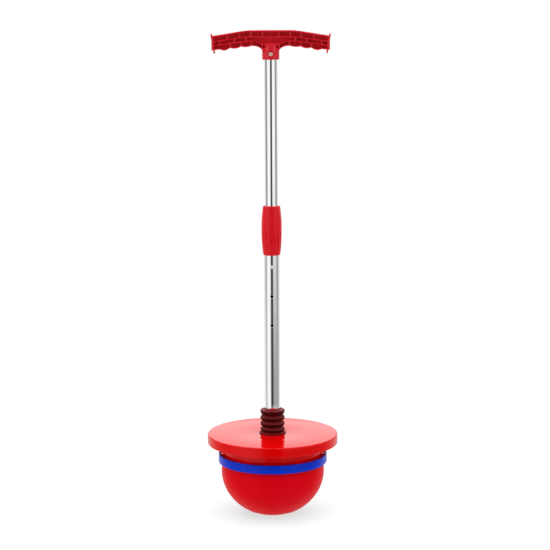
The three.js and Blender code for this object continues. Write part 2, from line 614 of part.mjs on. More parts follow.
function handlePockets() {
  const end = HANDLE_HALF - 0.6;
  const bothSides = (ribs) => [-end, ...[...ribs].reverse().map((x) => -x), ...ribs, end];
  const under = (share) => (x) => barLine(x, share) - RIB / 2;
  const over = (share) => (x) => barLine(x, share) + RIB / 2;
  const first = pocketRow(bothSides(UPPER_ROW), (x) => barTop(x) - TOP_WALL, over(ROW_LINES[0]));
  const second = pocketRow(bothSides(MIDDLE_ROW), under(ROW_LINES[0]), over(ROW_LINES[1]));
  const third = [];
  LOWER_ROW.slice(1).forEach((outer, i) => {
    const xs = between(LOWER_ROW[i] + RIB / 2, outer - RIB / 2, 4);
    const upper = [xs[0], xs.at(-1)].map((x) => [x, under(ROW_LINES[1])(x)]);
    third.push([...upper, ...[...xs].reverse().map((x) => [x, barUnderside(x) + 2.2])]);
  });
  third.push(pocket(LOWER_ROW.at(-1), end, under(ROW_LINES[1]), (x) => barLine(x, 1) + 2.2));
  const mirrored = third.map((hole) => hole.map(([x, z]) => [-x, z]).reverse());
  return [...first, ...second, ...third, ...mirrored];
}

function endPlate(side) {
  const { thickness, depth, height, out, heightAt, lean } = END_PLATE;
  const plate = block(0, 0, 0, thickness, depth, height).rotate([0, side * lean, 0]);
  return plate.translate([side * out, 0, heightAt]);
}

function makeHandle() {
  const outline = barOutline();
  const lattice = slab(outline, handlePockets(), HANDLE_DEPTH);
  const web = slab(outline, [], HANDLE_WEB);
  const boss = disc(BOSS_RADIUS, BOSS_BOTTOM, BOSS_TOP, POLE_SIDES);
  const bore = disc(UPPER_TUBE_RADIUS + GAP, BOSS_BOTTOM - 1, UPPER_TUBE_TOP + 0.5, POLE_SIDES);
  const recess = 14; // distance from the pole's axis to the floor of each recess for the bolt
  const shank = 2;
  const drills = [
    bore,
    crossPeg(shank + GAP, -20, 20, HANDLE_BOLT_HEIGHT),
    crossPeg(6, -20, -recess, HANDLE_BOLT_HEIGHT, 16),
    crossPeg(6, recess, 20, HANDLE_BOLT_HEIGHT, 16),
  ];
  piece("handle", drill(join(lattice, [web, boss, endPlate(-1), endPlate(1)]), drills), GRIP_RED);

  const headFloor = recess + 0.2;
  const bolt = screw(4, 2.2, shank, 2 * headFloor + 2).rotate([-90, 0, 0]);
  piece("handle_bolt", bolt, ZINC, [0, -headFloor, HANDLE_BOLT_HEIGHT]);
  const nut = ring(4, shank + GAP, 0, 2.4, 6).rotate([-90, 0, 0]);
  piece("handle_nut", nut, ZINC, [0, recess + 0.2, HANDLE_BOLT_HEIGHT]);
}

makeBall();
makeHoop();
makeSkirtPlate();
makeDeckTop();
makeGuidePost();
makeBellows();
makeLowerPole();
makeUpperPole();
makeSnapButton();
makeHandle();

export default model;
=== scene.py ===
"""Looks for a child's pogo jumper: detailed pieces, materials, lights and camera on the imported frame.

Millimetres inside the mesh code, metres in Blender. Z is up, -Y is the front, the handle lies along X.
"""

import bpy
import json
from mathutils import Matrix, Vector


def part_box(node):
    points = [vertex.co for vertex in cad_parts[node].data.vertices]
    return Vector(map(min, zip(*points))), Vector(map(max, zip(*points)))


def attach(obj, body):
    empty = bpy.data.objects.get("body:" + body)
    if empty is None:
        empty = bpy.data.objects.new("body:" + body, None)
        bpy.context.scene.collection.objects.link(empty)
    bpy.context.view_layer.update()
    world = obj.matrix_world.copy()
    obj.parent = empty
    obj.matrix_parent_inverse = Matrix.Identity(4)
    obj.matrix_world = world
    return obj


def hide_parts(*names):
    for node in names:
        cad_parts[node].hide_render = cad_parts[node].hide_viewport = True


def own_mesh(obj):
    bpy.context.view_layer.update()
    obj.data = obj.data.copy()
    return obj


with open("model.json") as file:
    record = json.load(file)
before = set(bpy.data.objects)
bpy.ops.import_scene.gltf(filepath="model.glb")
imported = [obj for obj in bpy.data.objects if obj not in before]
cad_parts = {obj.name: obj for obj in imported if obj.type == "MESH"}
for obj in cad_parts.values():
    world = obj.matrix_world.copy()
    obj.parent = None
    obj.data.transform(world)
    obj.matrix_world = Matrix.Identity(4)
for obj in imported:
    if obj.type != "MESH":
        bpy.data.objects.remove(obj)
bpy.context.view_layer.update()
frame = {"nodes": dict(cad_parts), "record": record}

import json
import math

import bmesh
import bpy
from mathutils import Matrix, Vector
from mathutils.geometry import delaunay_2d_cdt

MM = 0.001
ROUND_SIDES = 192  # facets round the ball, deck and hoop
POLE_SIDES = 96  # facets round the tubes
SCREW_SIDES = 32
ON_AXIS = 1e-6  # a smaller radius is a point on the axis
FRAME_GAP = 0.3  # the clear distance between parts that only lie near each other


def span(node):
    """Lowest and highest corner of a CAD node at rest, in millimetres."""
    low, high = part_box(node)
    return low / MM, high / MM


def middle(node):
    """The middle of a CAD node at rest, in millimetres."""
    low, high = span(node)
    return (low + high) / 2


# ---- meshes


def add_object(name, data):
    made = bpy.data.objects.new(name, data)
    bpy.context.scene.collection.objects.link(made)
    return made


def from_bmesh(name, bm):
    mesh = bpy.data.meshes.new(name)
    bm.to_mesh(mesh)
    bm.free()
    return add_object(name, mesh)


def make_object(name, vertices, faces, smooth_angle=35):
    """A mesh object from millimetre vertices, shaded smooth up to an angle in degrees."""
    mesh = bpy.data.meshes.new(name)
    mesh.from_pydata([Vector(v) * MM for v in vertices], [], faces)
    mesh.validate()
    bm = bmesh.new()
    bm.from_mesh(mesh)
    bmesh.ops.recalc_face_normals(bm, faces=bm.faces)
    if bm.calc_volume(signed=True) < 0:
        bmesh.ops.reverse_faces(bm, faces=bm.faces)
    bm.to_mesh(mesh)
    bm.free()
    made = add_object(name, mesh)
    shade(made, smooth_angle)
    return made


def shade(thing, smooth_angle=35):
    thing.data.shade_smooth()
    thing.data.set_sharp_from_angle(angle=math.radians(smooth_angle))


def fillet(points, steps=5):
    """A closed outline from (x, z, radius) points, each corner rounded to its radius."""
    made = []
    count = len(points)
    for i, (x, z, radius) in enumerate(points):
        if radius <= 0:
            made.append((x, z))
            continue
        before = Vector(points[i - 1][:2]) - Vector((x, z))
        after = Vector(points[(i + 1) % count][:2]) - Vector((x, z))
        half = before.angle(after) / 2
        reach = min(radius / math.tan(half), before.length * 0.49, after.length * 0.49)
        radius = reach * math.tan(half)
        corner = Vector((x, z))
        start = corner + before.normalized() * reach
        end = corner + after.normalized() * reach
        centre = corner + (before.normalized() + after.normalized()).normalized() * (radius / math.sin(half))
        a = start - centre
        b = end - centre
        turn = a.angle_signed(b)
        for step in range(steps + 1):
            made.append(tuple(centre + rotated(a, -turn * step / steps)))
    return made


def rotated(vector, angle):
    c, s = math.cos(angle), math.sin(angle)
    return Vector((c * vector.x - s * vector.y, s * vector.x + c * vector.y))


def bands(first, second):
    """The faces between two closed rings of vertices, less any that have shrunk to a line."""
    faces = []
    for corners in zip(first, first[1:] + first[:1], second[1:] + second[:1], second):
        unique = list(dict.fromkeys(corners))
        if len(unique) > 2:
            faces.append(unique)
    return faces


def lathe(profile, sides, ripple=None):
    """Vertices and faces of a closed profile of (radius, height), turned about Z.

    ripple(angle, radius, height) may change the radius of a point.
    """
    vertices, rings = [], []
    for radius, height in profile:
        start = len(vertices)
        if radius < ON_AXIS:
            rings.append([start] * sides)
            vertices.append((0, 0, height))
            continue
        rings.append(list(range(start, start + sides)))
        for side in range(sides):
            angle = 2 * math.pi * side / sides
            r = ripple(angle, radius, height) if ripple else radius
            vertices.append((r * math.cos(angle), r * math.sin(angle), height))
    if profile[0][0] > ON_AXIS or profile[-1][0] > ON_AXIS:
        rings.append(rings[0])
    faces = []
    for lower, upper in zip(rings, rings[1:]):
        faces += bands(lower, upper)
    return vertices, faces


def turned(name, profile, sides, smooth_angle=35, ripple=None):
    return make_object(name, *lathe(profile, sides, ripple), smooth_angle)


def box_mesh(name, size, bevel, segments=3):
    """A rounded block centred on the origin, sizes in millimetres."""
    bm = bmesh.new()
    bmesh.ops.create_cube(bm, size=1)
    bmesh.ops.scale(bm, vec=Vector(size) * MM, verts=bm.verts)
    bmesh.ops.bevel(
        bm, geom=list(bm.edges), offset=bevel * MM, segments=segments, profile=0.5, affect="EDGES"
    )
    return from_bmesh(name, bm)


def swept(name, sections, smooth_angle=35):
    """A closed solid through a row of equal rings of points."""
    count = len(sections[0])
    rings = [list(range(i * count, (i + 1) * count)) for i in range(len(sections))]
    faces = [rings[0], rings[-1]]
    for first, second in zip(rings, rings[1:]):
        faces += bands(first, second)
    return make_object(name, [point for section in sections for point in section], faces, smooth_angle)


def place(thing, matrix):
    thing.data.transform(matrix)
    return thing


def moved(x, y, z):
    return Matrix.Translation(Vector((x, y, z)) * MM)


def turn(degrees, axis):
    return Matrix.Rotation(math.radians(degrees), 4, axis)


def cut_or_join(body, tool, operation):
    """Applies an exact boolean and removes the tool."""
    modifier = body.modifiers.new("cut", "BOOLEAN")
    modifier.operation = operation
    modifier.solver = "EXACT"
    modifier.object = tool
    evaluated = body.evaluated_get(bpy.context.evaluated_depsgraph_get())
    result = bpy.data.meshes.new_from_object(evaluated)
    body.modifiers.clear()
    old = body.data
    body.data = result
    bpy.data.meshes.remove(old)
    bpy.data.meshes.remove(tool.data)
    return body


def clean(thing):
    """Merges points that a boolean left nearly on top of each other."""
    distance = 0.004 * MM
    bm = bmesh.new()
    bm.from_mesh(thing.data)
    bmesh.ops.remove_doubles(bm, verts=bm.verts, dist=distance)
    bmesh.ops.dissolve_degenerate(bm, edges=bm.edges, dist=distance)
    bm.to_mesh(thing.data)
    bm.free()
    return thing


def peg(radius, start, end, sides=SCREW_SIDES):
    """A cylinder along Z from start to end, for cutting."""
    return turned("peg", [(0, start), (radius, start), (radius, end), (0, end)], sides)


def drill(body, radius, start, end, matrix, sides=SCREW_SIDES):
    """Cuts a round hole along Z from start to end, put in place by the matrix."""
    return cut_or_join(body, place(peg(radius, start, end, sides), matrix), "DIFFERENCE")


def upright(node):
    """Puts a tool drawn round Z on a node's own upright axis."""
    return moved(middle(node).x, middle(node).y, 0)


def to_back(height):
    """Lays a tool drawn along Z down along Y, towards the back, at a height."""
    return moved(0, 0, height) @ turn(-90, "X")


# ---- materials


class Finish:
    """Builds one procedural material on the Principled shader."""

    def __init__(self, name, roughness, metallic=0.0, specular=0.5, ior=1.5):
        self.material = bpy.data.materials.new(name)
        self.material.use_nodes = True
        self.nodes = self.material.node_tree.nodes
        self.links = self.material.node_tree.links
        self.shader = self.nodes["Principled BSDF"]
        self.set("Roughness", roughness)
        self.set("Metallic", metallic)
        self.set("Specular IOR Level", specular)
        self.set("IOR", ior)
        self.place = self.nodes.new("ShaderNodeTexCoord").outputs["Object"]
        self.bumps = None

    def set(self, socket, value):
        self.shader.inputs[socket].default_value = value

    def noise(self, scale, detail, stretch=None):
        texture = self.nodes.new("ShaderNodeTexNoise")
        texture.inputs["Scale"].default_value = scale
        texture.inputs["Detail"].default_value = detail
        source = self.place
        if stretch:
            mapping = self.nodes.new("ShaderNodeMapping")
            mapping.inputs["Scale"].default_value = stretch
            self.links.new(source, mapping.inputs["Vector"])
            source = mapping.outputs["Vector"]
        self.links.new(source, texture.inputs["Vector"])
        return texture.outputs["Fac"]

    def ramp(self, factor, stops):
        ramp = self.nodes.new("ShaderNodeValToRGB")
        elements = ramp.color_ramp.elements
        while len(elements) < len(stops):
            elements.new(0.5)
        for element, (position, colour) in zip(elements, stops):
            element.position = position
            element.color = (*colour, 1)
        self.links.new(factor, ramp.inputs["Fac"])
        return ramp.outputs["Color"]

    def colour(self, factor, dark, light, low=0.35, high=0.65):
        self.links.new(self.ramp(factor, [(low, dark), (high, light)]), self.shader.inputs["Base Color"])

    def vary(self, socket, factor, low, high):
        spread = self.nodes.new("ShaderNodeMapRange")
        for name, value in (("From Min", 0.3), ("From Max", 0.7), ("To Min", low), ("To Max", high)):
            spread.inputs[name].default_value = value
        self.links.new(factor, spread.inputs["Value"])
        self.links.new(spread.outputs["Result"], self.shader.inputs[socket])

    def bump(self, height, distance_mm, strength):
        bump = self.nodes.new("ShaderNodeBump")
        bump.inputs["Strength"].default_value = strength
        bump.inputs["Distance"].default_value = distance_mm * MM
        self.links.new(height, bump.inputs["Height"])
        if self.bumps:
            self.links.new(self.bumps, bump.inputs["Normal"])
        self.bumps = bump.outputs["Normal"]
        self.links.new(self.bumps, self.shader.inputs["Normal"])


def plastic(name, roughness, specular, dark, light, scales, wear):
    """A moulded plastic: changes of shade, patches of wear and a fine grain, at three noise scales."""
    shade_scale, wear_scale, grain_scale = scales
    finish = Finish(name, roughness, specular=specular)
    finish.colour(finish.noise(shade_scale, 3), dark, light)
    finish.vary("Roughness", finish.noise(wear_scale, 4), *wear)
    finish.bump(finish.noise(grain_scale, 2), 0.02, 0.2)
    return finish.material


def gloss_red():
    finish = Finish("deck gloss red", 0.09, specular=0.14, ior=1.55)
    finish.colour(finish.noise(22, 2), (0.91, 0.0003, 0.0007), (0.95, 0.0006, 0.0011))
    finish.vary("Roughness", finish.noise(160, 4), 0.06, 0.11)
    finish.bump(finish.noise(30, 1), 0.02, 0.35)
    return finish.material


def ball_vinyl():
    finish = Finish("ball vinyl", 0.38, specular=0.04, ior=1.5)
    finish.colour(finish.noise(14, 3), (0.90, 0.0003, 0.007), (0.94, 0.0006, 0.011))
    finish.vary("Roughness", finish.noise(90, 4), 0.34, 0.46)
    finish.bump(finish.noise(700, 2), 0.03, 0.2)
    finish.bump(finish.noise(30, 2), 0.25, 0.2)
    return finish.material


def grip_red():
    dark, light = (0.82, 0.004, 0.019), (0.87, 0.006, 0.025)
    return plastic("handle red", 0.34, 0.45, dark, light, (40, 220, 1200), (0.30, 0.42))


def sleeve_red():
    dark, light = (0.86, 0.002, 0.010), (0.91, 0.004, 0.015)
    return plastic("sleeve red", 0.32, 0.25, dark, light, (40, 220, 1200), (0.28, 0.40))


def blue_plastic():
    dark, light = (0.0018, 0.038, 0.70), (0.0024, 0.046, 0.78)
    return plastic("hoop blue", 0.28, 0.12, dark, light, (25, 180, 900), (0.22, 0.34))


def maroon_rubber():
    """Dark rubber with painted light: paler on the faces that look up, where the light falls on it, with a
    random change of tone.
    """
    finish = Finish("bellows rubber", 0.5, specular=0.15)
    normal = finish.nodes.new("ShaderNodeNewGeometry").outputs["Normal"]
    split = finish.nodes.new("ShaderNodeSeparateXYZ")
    finish.links.new(normal, split.inputs[0])
    # Painted light: the colour turns paler as the surface faces up, and a noise adds a random change of tone.
    painted_top_light = finish.nodes.new("ShaderNodeMath")
    painted_top_light.operation = "MULTIPLY_ADD"
    painted_top_light.inputs[1].default_value = 0.25
    finish.links.new(finish.noise(90, 4), painted_top_light.inputs[0])
    finish.links.new(split.outputs["Z"], painted_top_light.inputs[2])
    finish.colour(painted_top_light.outputs[0], (0.048, 0.0008, 0.0012), (0.25, 0.006, 0.010), 0.42, 0.95)
    finish.vary("Roughness", finish.noise(300, 4), 0.42, 0.6)
    finish.bump(finish.noise(1500, 3), 0.03, 0.3)
    return finish.material


def chrome_tube():
    finish = Finish("chrome plate", 0.07, metallic=1)
    finish.colour(finish.noise(60, 3, stretch=(1, 1, 0.08)), (0.93, 0.935, 0.94), (0.96, 0.96, 0.96))
    finish.vary("Roughness", finish.noise(140, 4, stretch=(1, 1, 0.2)), 0.04, 0.09)
    finish.bump(finish.noise(24, 1, stretch=(1, 1, 0.3)), 0.01, 0.15)
    return finish.material


def zinc_steel():
    finish = Finish("zinc plate", 0.28, metallic=1)
    finish.colour(finish.noise(400, 4), (0.60, 0.61, 0.63), (0.70, 0.70, 0.71))
    finish.vary("Roughness", finish.noise(500, 4), 0.22, 0.36)
    finish.bump(finish.noise(1600, 2), 0.02, 0.2)
    return finish.material


def nylon():
    dark, light = (0.76, 0.73, 0.66), (0.84, 0.82, 0.76)
    return plastic("natural nylon", 0.45, 0.45, dark, light, (60, 240, 1000), (0.38, 0.52))


def bolt_head_painted_reflection():
    finish = Finish("bolt head", 0.5, metallic=0.6)
    # Painted reflection and highlight: the head's base colour is lifted to a bright pink-orange, standing in
    # for the red plastic it reflects and for its highlight.
    finish.colour(finish.noise(400, 4), (0.98, 0.60, 0.48), (1.0, 0.74, 0.62))
    finish.vary("Roughness", finish.noise(500, 4), 0.42, 0.6)
    return finish.material


MATERIALS = {
    make.__name__: make()
    for make in (
        gloss_red, ball_vinyl, grip_red, sleeve_red, blue_plastic, maroon_rubber, chrome_tube, zinc_steel,
        nylon,
    )
}


def finish_piece(thing, slot, body, *nodes):
    """Gives a piece its material, its body and the CAD nodes that it stands for."""
    thing.data.materials.clear()
    thing.data.materials.append(MATERIALS[slot])
    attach(thing, body)
    if nodes:
        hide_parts(*nodes)
    return thing


def carry_over_frame():
    """Every CAD node that stays gets its slot's material."""
    slot_of = {part["node"]: part["material_slot"] for part in frame["record"]["subparts"]}
    for name, node in frame["nodes"].items():
        node.data.materials.clear()
        node.data.materials.append(MATERIALS[slot_of[name]])


# ---- ball and hoop


def ellipse_arc(radius, half_height, equator, start, end, steps):
    """(radius, height) points on an ellipse from one height to another."""
    low = math.asin((start - equator) / half_height)
    high = math.asin((end - equator) / half_height)
    points = []
    for i in range(steps + 1):
        angle = low + (high - low) * i / steps
        points.append((radius * math.cos(angle), equator + half_height * math.sin(angle)))
    return points


def make_ball():
    high = span("ball")[1]
    radius, crown = high.x, high.z
    equator, half_height, wall = 84, 89.6, 5
    groove, bead, neck, shoulder = 95.9, 98, 94.2, 126
    groove_low = span("clamp_hoop")[0].z - FRAME_GAP
    groove_high = groove_low + 3.2
    bead_top = span("skirt_plate")[0].z - FRAME_GAP
    foot = [(0, 0), (25, 0), (28, 0.03), (31, 0.25), (34, 0.8), (38, 1.95), (42, 3.4), (46, 5.0)]
    outside = foot + ellipse_arc(radius, half_height, equator, 6, groove_low - 0.6, 60)
    outside += fillet([
        (groove + 0.5, groove_low - 0.2, 0), (groove, groove_low + 0.3, 0), (groove, groove_high, 0.4),
        (bead, groove_high, 0.6), (bead, bead_top, 0.8), (neck, bead_top, 0.6), (neck, shoulder, 8),
        (89, 137, 8), (76, crown, 4), (0, crown, 0),
    ])
    inner = [(0, crown - wall), (74, crown - wall), (neck - wall, shoulder), (neck - wall, 101)]
    inner += reversed(ellipse_arc(radius - wall, half_height - 7, equator, 9, 90, 30))
    inner += [(30, wall), (0, wall)]
    ball = turned("ball_skin", outside, ROUND_SIDES)
    cut_or_join(ball, turned("hollow", inner, 96), "DIFFERENCE")
    valve = to_back(middle("valve_plug").z)
    drill(ball, 3.5, radius - 15, radius + 5, valve)
    drill(ball, 7.2, radius - 0.9, radius + 5, valve, 64)
    shade(ball, 30)
    finish_piece(ball, "ball_vinyl", "base", "ball")

    profile = fillet([
        (0, 0, 0), (2.6, 0, 0.3), (3.2, 0.8, 0.3), (3.2, 5.6, 0.2), (5.5, 5.8, 0.3), (5.5, 6.9, 0.6),
        (3.2, 7.6, 0.5), (2.0, 6.6, 0.4), (0, 6.4, 0),
    ])
    plug = turned("valve_button", profile, 48)
    place(plug, moved(0, span("valve_plug")[0].y, 0) @ valve)
    finish_piece(plug, "ball_vinyl", "base", "valve_plug")


def make_hoop():
    low, high = span("clamp_hoop")
    radius, bottom, top = high.x, low.z, high.z
    bore, inward, ledge = radius - 2.5, 96.3, bottom + 2.6
    profile = fillet([
        (inward, bottom, 0.5), (radius, bottom, 1.3), (radius, top, 0.9), (bore, top, 0.6),
        (bore, ledge, 0.8), (inward, ledge, 0.5),
    ])
    hoop = turned("hoop_band", profile, ROUND_SIDES)
    for number in range(1, 7):
        sink = turned("sink", [(0, -1), (2.9, -1), (2.9, 0.3), (1.8, 1.8), (1.8, 5), (0, 5)], SCREW_SIDES)
        place(sink, moved(0, 0, bottom) @ upright(f"hoop_screw_{number}"))
        cut_or_join(hoop, sink, "DIFFERENCE")
        make_flat_screw(number)
    shade(hoop)
    finish_piece(hoop, "blue_plastic", "base", "clamp_hoop")


def cross_recess(size, depth):
    """A cross-shaped driver recess, cut from height 0 down."""
    first = box_mesh("recess", (size, size * 0.26, 2 * depth), 0.1, 1)
    second = box_mesh("recess2", (size * 0.26, size, 2 * depth), 0.1, 1)
    return cut_or_join(first, second, "UNION")


def make_flat_screw(number):
    """A countersunk screw with its head down, flush in the hoop's underside."""
    node = f"hoop_screw_{number}"
    profile = fillet(
        [(0, 0, 0), (2.6, 0, 0.12), (1.5, 1.5, 0.2), (1.5, 11, 0.2), (0.6, 12, 0.1), (0, 12, 0)], 3)
    screw = turned(f"hoop_fixing_{number}", profile, SCREW_SIDES)
    cut_or_join(screw, cross_recess(2.9, 0.9), "DIFFERENCE")
    place(screw, moved(0, 0, span(node)[0].z) @ upright(node))
    shade(screw, 30)
    finish_piece(screw, "zinc_steel", "base", node)


# ---- deck


def make_pan_screw(node, name, head_radius, head_height, shank_radius, matrix, body):
    """A domed screw. Its head hangs below height 0 and its shank stands above; matrix puts it in place."""
    low, high = span(node)
    length = max(high - low) - head_height
    profile = fillet([
        (0, -head_height, 0), (head_radius * 0.62, -head_height * 0.94, 0.5),
        (head_radius, -head_height * 0.35, 0.6), (head_radius, 0, 0.15), (shank_radius, 0, 0.1),
        (shank_radius, length - 0.8, 0.2), (0.6, length, 0.2), (0, length, 0),
    ], 4)
    screw = turned(name, profile, SCREW_SIDES)
    recess = place(cross_recess(head_radius * 1.15, 1.1), moved(0, 0, -head_height))
    cut_or_join(screw, recess, "DIFFERENCE")
    place(screw, matrix)
    shade(screw, 30)
    return finish_piece(screw, "zinc_steel", body, node)


def make_skirt():
    low, high = span("skirt_plate")
    outer, top = high.x, high.z
    skirt, wall = 97.5, 3
    under, inside = top - wall, skirt - wall
    profile = fillet([
        (0, under, 0), (inside, under, 1.2), (inside, low.z, 0.5), (skirt, low.z, 0.5), (skirt, under, 2.2),
        (outer, under, 0.5), (outer, top, 0.5), (0, top, 0),
    ])
    plate = turned("deck_skirt", profile, ROUND_SIDES)
    for number in range(1, 7):
        screw = middle(f"hoop_screw_{number}")
        angle = math.degrees(math.atan2(screw.y, screw.x))
        lug = box_mesh("lug", (6.6, 10, 7.4), 0.7)
        place(lug, turn(angle, "Z") @ moved(99.3, 0, low.z + 3.7))
        cut_or_join(plate, lug, "UNION")
        drill(plate, 1.8, low.z - 1, low.z + 6.2, upright(f"hoop_screw_{number}"), 24)
    for number in range(1, 7):
        node = f"deck_screw_{number}"
        drill(plate, 2.2, under - 1, top + 1, upright(node), 24)
        matrix = moved(0, 0, under - FRAME_GAP) @ upright(node)
        make_pan_screw(node, f"deck_fixing_{number}", 3.6, 2.3, 1.8, matrix, "base")
    clean(plate)
    shade(plate)
    finish_piece(plate, "gloss_red", "base", "skirt_plate")


def make_deck():
    low, high = span("deck_top")
    radius, top, bottom = high.x, high.z, low.z
    wall, hub, hub_bottom = 3.1, 34, 151.8
    ring_in, ring_out = 95, 97.5  # the round rib that stands on the skirt plate
    seat_radius, seat, hole = 26.5, 157, 10.6
    plate, inside = top - wall, radius - wall
    rib_bottom = span("skirt_plate")[1].z + FRAME_GAP
    profile = fillet([
        (hole, hub_bottom, 0), (hub, hub_bottom, 0.5), (hub, plate, 1), (ring_in, plate, 1),
        (ring_in, rib_bottom, 0.3), (ring_out, rib_bottom, 0.3), (ring_out, plate, 1), (inside, plate, 1.2),
        (inside, bottom, 0.8), (radius, bottom, 1.1), (radius, top, 2.4), (seat_radius, top, 0.3),
        (seat_radius, seat, 0.3), (hole, seat, 0.2),
    ], 6)
    deck = turned("deck_shell", profile, ROUND_SIDES)
    rib_in, rib_out, rib_top = 36, inside + 0.5, plate + 0.5
    for number in range(8):
        rib = box_mesh("rib", (rib_out - rib_in, 2.4, rib_top - rib_bottom), 0.3, 1)
        angle = (number + 0.5) * 45
        place(rib, turn(angle, "Z") @ moved((rib_in + rib_out) / 2, 0, (rib_top + rib_bottom) / 2))
        cut_or_join(deck, rib, "UNION")
    for number in range(1, 7):
        node = f"deck_screw_{number}"
        cut_or_join(deck, place(peg(5, rib_bottom, rib_top), upright(node)), "UNION")
        drill(deck, 2.1, rib_bottom - 1, rib_bottom + 8.6, upright(node), 24)
    for number in range(1, 5):
        drill(deck, 2.8, hub_bottom - 1, seat - 1.4, upright(f"post_screw_{number}"), 24)
    clean(deck)
    shade(deck)
    finish_piece(deck, "gloss_red", "base", "deck_top")


# ---- sprung foot


def make_bellows():
    low, high = span("bellows")
    bottom, top, base = low.z, high.z, high.x
    bore, tube, radius, groove = 18.4, 15.3, 23.8, 20.4
    pitch, ridges = 11.6, 4
    points = [
        (bore, bottom, 0.3), (base, bottom, 0.5), (base, bottom + 2.0, 0.7), (groove + 1, bottom + 4.2, 0.5),
    ]
    for ridge in reversed(range(ridges)):
        ridge_top = top - ridge * pitch
        crest = ridge_top - (2.9 if ridge else 1.2)
        points += [
            (radius - 0.9, ridge_top - 7.4, 1.6), (radius, crest - 1.2, 1.0), (radius - 0.1, crest, 0.7),
        ]
        if ridge:
            points += [
                (groove + 1.2, ridge_top, 1.2), (groove, ridge_top + 1.4, 0.9),
                (groove + 0.4, ridge_top + 3.4, 0.9),
            ]
        else:
            points.append((radius - 1.1, ridge_top, 0.6))
    points += [
        (17.2, top, 0.3), (16.2, top - 0.7, 0.4), (tube, top - 0.8, 0.2), (tube, top - 6, 0.2),
        (bore, top - 7.5, 0.4),
    ]
    bellows = turned("rubber_bellows", fillet(points, 5), 128, 40)
    finish_piece(bellows, "maroon_rubber", "base", "bellows")
    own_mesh(bellows)


def make_bounce_spring():
    """A closed-end compression spring of round wire, its end faces ground flat."""
    low, high = span("bounce_spring")
    bottom, top = low.z, high.z
    wire, mean, active, closed = 1.5, 12.4, 3.5, 0.75
    turns = active + 2 * closed
    closed_rise = closed * (2 * wire + 0.2)
    active_rise = top - bottom - 2 * wire - 2 * closed_rise
    steps, around, ground = 320, 14, 0.02
    sections = []
    for step in range(steps + 1):
        along = turns * step / steps
        at_ends = min(along, closed) + max(0, along - turns + closed)
        height = bottom + wire + at_ends / closed * closed_rise + (along - at_ends) / active * active_rise
        angle = 2 * math.pi * along
        section = []
        for side in range(around):
            a = 2 * math.pi * side / around
            r = mean + wire * math.cos(a)
            z = max(bottom + ground, min(top - ground, height + wire * math.sin(a)))
            section.append((r * math.cos(angle), r * math.sin(angle), z))
        sections.append(section)
    spring = swept("bounce_coil", sections, 50)
    finish_piece(spring, "zinc_steel", "base", "bounce_spring")
    height = top - bottom
    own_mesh(spring)


# ---- pole


def drilled_tube(name, radius, bore, bottom, top, holes):
    """A round tube with rounded ends and round holes through one wall.

    holes lists (angle in degrees, height, hole radius). Every vertex lies on the tube's own surface, so
    that it shades as a true cylinder right up to each hole.
    """
    half = 4  # half a hole's square patch, in steps round the tube
    step_angle = 2 * math.pi / POLE_SIDES
    across = step_angle * radius
    reach = half * step_angle * radius * 1.15  # half the patch's height
    longest = 30  # of the skin's faces, along the tube
    lip, chamfer = 0.4, 0.3
    vertices, faces, known = [], [], {}

    def point(r, angle, z):
        key = (round(r, 4), round(math.cos(angle) * 1e4), round(math.sin(angle) * 1e4), round(z, 4))
        if key not in known:
            known[key] = len(vertices)
            vertices.append((r * math.cos(angle), r * math.sin(angle), z))
        return known[key]

    patches = [(round(math.radians(angle) / step_angle), height, hole) for angle, height, hole in holes]
    levels = {bottom + lip, top - lip}
    for _, height, _ in patches:
        levels.update(height - reach + 2 * reach * i / (2 * half) for i in range(2 * half + 1))
    levels = sorted(levels)
    filled = [levels[0]]
    for z in levels[1:]:
        gap = z - filled[-1]
        pieces = max(1, math.ceil(gap / longest))
        filled += [filled[-1] + gap * (i + 1) / pieces for i in range(pieces)]
    levels = sorted(set(round(z, 5) for z in filled))

    def in_patch(column, low, high):
        for centre, height, _ in patches:
            off = (column - centre + POLE_SIDES // 2) % POLE_SIDES - POLE_SIDES // 2
            if -half <= off < half and low >= height - reach - 1e-3 and high <= height + reach + 1e-3:
                return True
        return False

    for skin in (radius, bore):
        for low, high in zip(levels, levels[1:]):
            for column in range(POLE_SIDES):
                if not in_patch(column, low, high):
                    a, b = column * step_angle, (column + 1) * step_angle
                    corners = ((a, low), (b, low), (b, high), (a, high))
                    faces.append([point(skin, angle, z) for angle, z in corners])
    for end, inward in ((bottom, 1), (top, -1)):
        profile = [
            (radius, lip), (radius - 0.12, 0.12), (radius - lip, 0), (bore + 0.3, 0), (bore + 0.09, 0.09),
            (bore, lip),
        ]
        rings = []
        for r, rise in profile:
            rings.append([point(r, column * step_angle, end + inward * rise) for column in range(POLE_SIDES)])
        for first, second in zip(rings, rings[1:]):
            faces += bands(first, second)

    steps = range(2 * half)
    rim = [(i - half, -half) for i in steps] + [(half, i - half) for i in steps]
    rim += [(half - i, half) for i in steps] + [(-half, half - i) for i in steps]
    for column, height, hole in patches:
        outer = [(i * across, j * reach / half) for i, j in rim]
        edges = []
        for skin, mouth in ((radius, hole + chamfer), (bore, hole)):
            rings = []
            for share in (0, 0.35, 0.7, 1):
                ring = []
                for u, v in outer:
                    shrink = 1 + (mouth / math.hypot(u, v) - 1) * share
                    angle = column * step_angle + round(u * shrink, 6) / radius
                    ring.append(point(skin, angle, height + round(v * shrink, 6)))
                rings.append(ring)
            for first, second in zip(rings, rings[1:]):
                faces += bands(first, second)
            edges.append(rings[-1])
        throat = []
        for u, v in outer:
            shrink = hole / math.hypot(u, v)
            angle = column * step_angle + u * shrink / radius
            throat.append(point(radius - 0.25, angle, height + v * shrink))
        faces += bands(edges[0], throat) + bands(throat, edges[1])
    return make_object(name, vertices, faces, 30)


